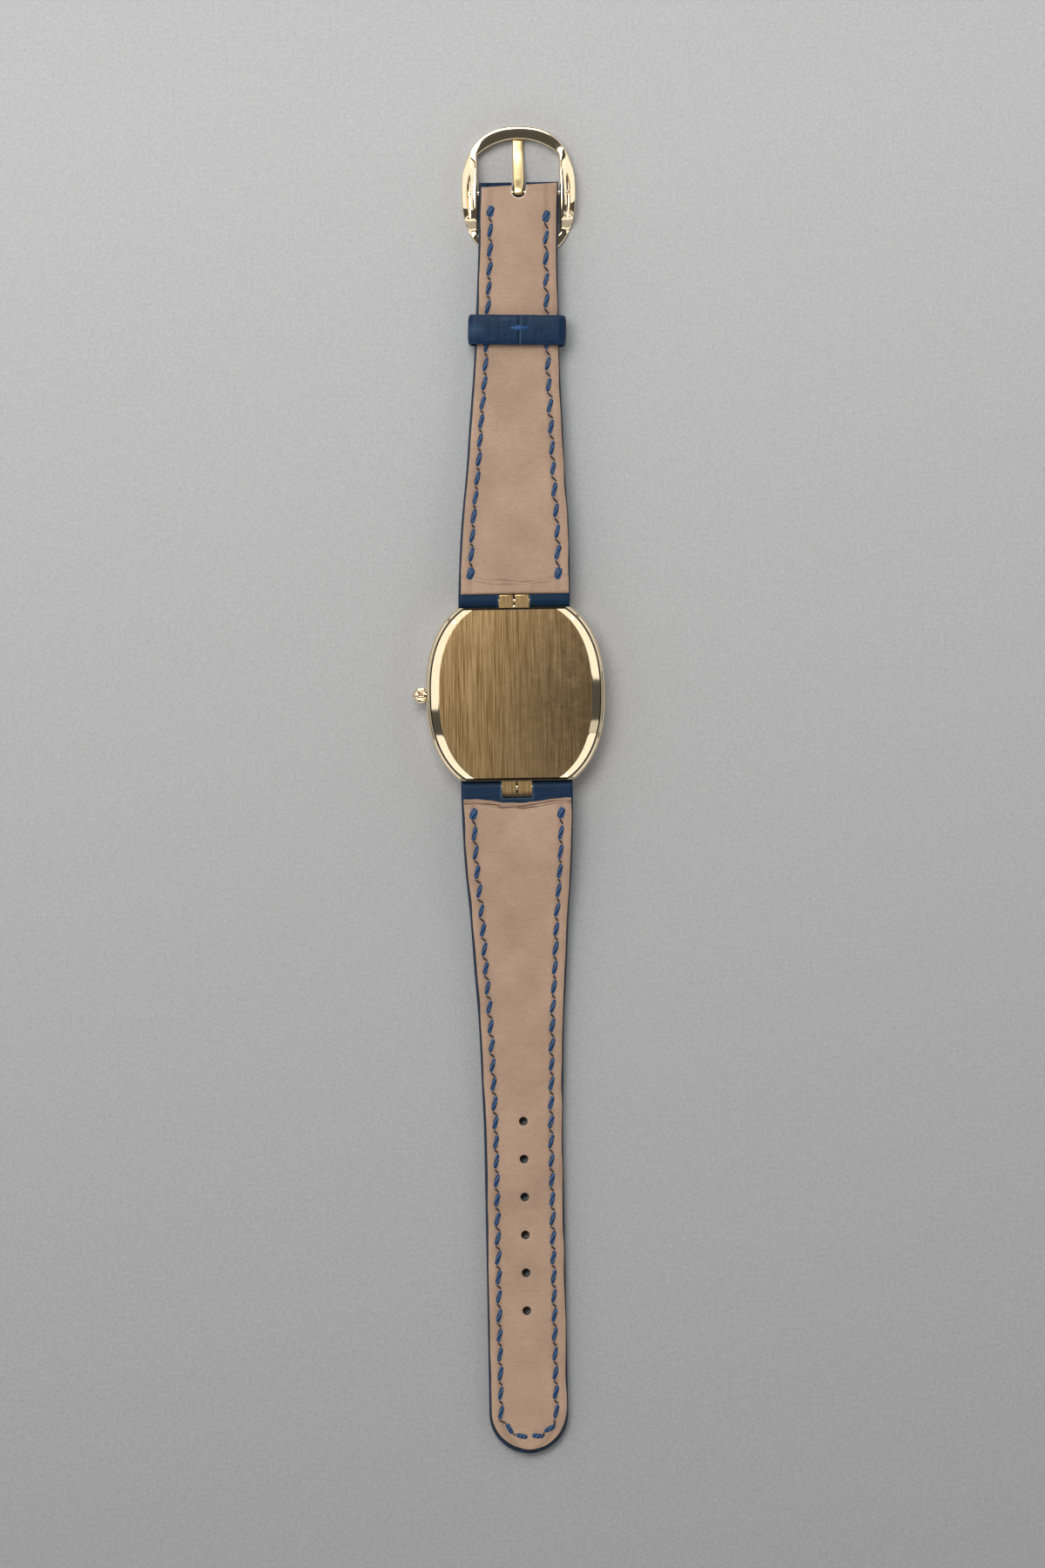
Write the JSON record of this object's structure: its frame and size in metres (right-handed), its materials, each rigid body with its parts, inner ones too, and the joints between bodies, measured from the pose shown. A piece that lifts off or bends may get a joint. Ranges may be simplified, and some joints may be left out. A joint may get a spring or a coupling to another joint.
{
  "type": "oval wristwatch",
  "caption": "Slim oval dress watch in yellow gold on a blue leather strap with pin buckle, lying face down and open, with its hand-wound movement inside.",
  "frame": {"origin": "centre of the crystal's flat outer face, which the watch lies on", "axes": "+Z out of the case back, +Y towards the buckle end of the short strap (twelve o'clock), +X away from the crown"},
  "size_m": [0.0335, 0.231, 0.0059],
  "materials": {
    "polished_gold": "polished yellow gold",
    "brushed_gold": "fine straight brushing along the strap's direction",
    "sapphire": "clear, polished",
    "black_rubber": "matt",
    "blue_dial": "dark blue sunburst lacquer",
    "nickel_plate": "fine satin nickel plating",
    "polished_steel": "polished",
    "spring_steel": "bright rolled strip",
    "gilt_brass": "gilt",
    "ruby": "polished red stone",
    "blue_alligator": "waxed scaled hide, navy",
    "leather_core": "rough core, painted at its edges",
    "tan_calf": "smooth calf with fine grain",
    "blue_thread": "waxed linen thread"
  },
  "bodies": {
    "case": {"bezel": "polished_gold", "crystal": "sapphire", "crystal_gasket": "black_rubber", "case_middle": "polished_gold", "case_back": "brushed_gold", "case_back_gasket": "black_rubber", "crown_tube": "polished_gold", "dial": "blue_dial", "hour_markers": "polished_gold", "mainplate": "nickel_plate", "barrel_bridge": "nickel_plate", "train_bridge": "nickel_plate", "balance_cock": "nickel_plate", "pallet_bridge": "nickel_plate", "bridge_screws": "polished_steel", "jewels": "ruby", "click_spring": "polished_steel", "hairspring": "spring_steel", "movement_ring": "nickel_plate", "casing_clamps": "nickel_plate", "casing_screws": "polished_steel", "strap_bars": "polished_gold"},
    "winding_pinion": {"winding_pinion": "polished_steel"},
    "crown": {"crown": "polished_gold", "winding_stem": "polished_steel"},
    "sliding_pinion": {"sliding_pinion": "polished_steel"},
    "setting_lever": {"setting_lever": "polished_steel"},
    "yoke": {"yoke": "polished_steel"},
    "crown_wheel": {"crown_wheel": "polished_steel"},
    "ratchet_wheel": {"ratchet_wheel": "polished_steel", "ratchet_screw": "polished_steel", "barrel_arbor": "polished_steel"},
    "click": {"click": "polished_steel"},
    "barrel": {"barrel_drum": "gilt_brass", "barrel_cover": "gilt_brass", "mainspring": "spring_steel"},
    "centre_wheel": {"centre_wheel": "gilt_brass"},
    "third_wheel": {"third_wheel": "gilt_brass"},
    "fourth_wheel": {"fourth_wheel": "gilt_brass"},
    "escape_wheel": {"escape_wheel": "polished_steel"},
    "pallet_fork": {"pallet_fork": "polished_steel"},
    "balance_wheel": {"balance_wheel": "gilt_brass"},
    "minute_hand": {"cannon_pinion": "polished_steel", "minute_hand": "polished_gold"},
    "hour_hand": {"hour_wheel": "gilt_brass", "hour_hand": "polished_gold"},
    "minute_wheel": {"minute_wheel": "gilt_brass"},
    "setting_wheel": {"setting_wheel": "polished_steel"},
    "short_strap": {"short_strap_outer": "blue_alligator", "short_strap_padding": "leather_core", "short_strap_lining": "tan_calf", "short_strap_thread": "blue_thread"},
    "long_strap": {"long_strap_outer": "blue_alligator", "long_strap_padding": "leather_core", "long_strap_lining": "tan_calf", "long_strap_thread": "blue_thread"},
    "keeper": {"strap_keeper": "blue_alligator"},
    "buckle": {"buckle_frame": "polished_gold", "buckle_bar": "polished_gold"},
    "tongue": {"buckle_tongue": "brushed_gold"}
  },
  "joints": [
    {"name": "short_strap_swing", "type": "hinge", "parent": "case", "child": "short_strap", "pos_m": [0, 0.0162, 0.00325], "axis": [1, 0, 0], "range_deg": [-3, 65]},
    {"name": "long_strap_swing", "type": "hinge", "parent": "case", "child": "long_strap", "pos_m": [0, -0.0162, 0.00325], "axis": [-1, 0, 0], "range_deg": [-3, 65]},
    {"name": "keeper_slide", "type": "slide", "parent": "short_strap", "child": "keeper", "axis": [0.0262, 0.9997, 0], "range_m": [-0.004, 0.005]},
    {"name": "buckle_swing", "type": "hinge", "parent": "short_strap", "child": "buckle", "pos_m": [0.00186, 0.0872, 0.00225], "axis": [1, 0, 0], "range_deg": [0, 60]},
    {"name": "tongue_swing", "type": "hinge", "parent": "buckle", "child": "tongue", "pos_m": [0.00186, 0.0872, 0.00225], "axis": [-1, 0, 0], "range_deg": [0, 95]},
    {"name": "winding_turn", "type": "hinge", "parent": "case", "child": "winding_pinion", "pos_m": [-0.00865, 0, 0.00299], "axis": [1, 0, 0], "continuous": true},
    {"name": "crown_pull", "type": "slide", "parent": "winding_pinion", "child": "crown", "axis": [-1, 0, 0], "range_m": [0, 0.0008]},
    {"name": "sliding_pinion_slide", "type": "slide", "parent": "winding_pinion", "child": "sliding_pinion", "axis": [1, 0, 0], "range_m": [0, 0.0004]},
    {"name": "setting_lever_turn", "type": "hinge", "parent": "case", "child": "setting_lever", "pos_m": [-0.00965, 0.002, 0.00221], "axis": [0, 0, -1], "range_deg": [0, 22.62]},
    {"name": "yoke_turn", "type": "hinge", "parent": "case", "child": "yoke", "pos_m": [-0.0074, -0.00341, 0.00221], "axis": [0, 0, -1], "range_deg": [0, 8.32]},
    {"name": "crown_wheel_turn", "type": "hinge", "parent": "case", "child": "crown_wheel", "pos_m": [-0.00555, 0, 0.00424], "axis": [0, 0, 1], "continuous": true},
    {"name": "ratchet_wheel_turn", "type": "hinge", "parent": "case", "child": "ratchet_wheel", "pos_m": [-0.00205, 0.005, 0.00424], "axis": [0, 0, 1], "continuous": true},
    {"name": "click_turn", "type": "hinge", "parent": "case", "child": "click", "pos_m": [0.00228, 0.00537, 0.00424], "axis": [0, 0, -1], "range_deg": [0, 8], "stiffness_Nm_per_rad": 0.0002},
    {"name": "fourth_wheel_turn", "type": "hinge", "parent": "case", "child": "fourth_wheel", "pos_m": [0.00522, -0.00395, 0.00305], "axis": [0, 0, 1], "continuous": true},
    {"name": "third_wheel_turn", "type": "hinge", "parent": "case", "child": "third_wheel", "pos_m": [0.0035, -0.00142, 0.00305], "axis": [0, 0, 1], "continuous": true},
    {"name": "centre_wheel_turn", "type": "hinge", "parent": "case", "child": "centre_wheel", "pos_m": [0, 0, 0.00305], "axis": [0, 0, 1], "continuous": true},
    {"name": "barrel_turn", "type": "hinge", "parent": "case", "child": "barrel", "pos_m": [-0.00205, 0.005, 0.00305], "axis": [0, 0, 1], "continuous": true},
    {"name": "escape_wheel_turn", "type": "hinge", "parent": "case", "child": "escape_wheel", "pos_m": [0.00324, -0.00544, 0.00305], "axis": [0, 0, 1], "continuous": true},
    {"name": "pallet_fork_swing", "type": "hinge", "parent": "case", "child": "pallet_fork", "pos_m": [0.00137, -0.00601, 0.00305], "axis": [0, 0, 1], "range_deg": [-3, 3]},
    {"name": "balance_swing", "type": "hinge", "parent": "case", "child": "balance_wheel", "pos_m": [-0.00175, -0.00652, 0.00305], "axis": [0, 0, 1], "range_deg": [-135, 135], "stiffness_Nm_per_rad": 0.000005},
    {"name": "minute_hand_turn", "type": "hinge", "parent": "case", "child": "minute_hand", "pos_m": [0, 0, 0.00194], "axis": [0, 0, 1], "continuous": true},
    {"name": "hour_hand_turn", "type": "hinge", "parent": "case", "child": "hour_hand", "pos_m": [0, 0, 0.00168], "axis": [0, 0, 1], "continuous": true},
    {"name": "minute_wheel_turn", "type": "hinge", "parent": "case", "child": "minute_wheel", "pos_m": [-0.0024, 0, 0.00194], "axis": [0, 0, 1], "continuous": true},
    {"name": "setting_wheel_turn", "type": "hinge", "parent": "case", "child": "setting_wheel", "pos_m": [-0.0054, 0, 0.00194], "axis": [0, 0, 1], "continuous": true}
  ],
  "couplings": [
    {"joint": "sliding_pinion_slide", "follows": "crown_pull", "ratio": 0.5},
    {"joint": "setting_lever_turn", "follows": "crown_pull", "rad_per_m": 493.48},
    {"joint": "yoke_turn", "follows": "crown_pull", "rad_per_m": 181.5},
    {"joint": "crown_wheel_turn", "follows": "winding_turn", "ratio": 0.32258},
    {"joint": "ratchet_wheel_turn", "follows": "winding_turn", "ratio": -0.33333},
    {"joint": "centre_wheel_turn", "follows": "barrel_turn", "ratio": -8},
    {"joint": "third_wheel_turn", "follows": "barrel_turn", "ratio": 64},
    {"joint": "fourth_wheel_turn", "follows": "barrel_turn", "ratio": -480},
    {"joint": "escape_wheel_turn", "follows": "barrel_turn", "ratio": 4800},
    {"joint": "hour_hand_turn", "follows": "minute_hand_turn", "ratio": 0.083333},
    {"joint": "minute_wheel_turn", "follows": "minute_hand_turn", "ratio": -0.33333},
    {"joint": "setting_wheel_turn", "follows": "minute_hand_turn", "ratio": 0.5}
  ]
}
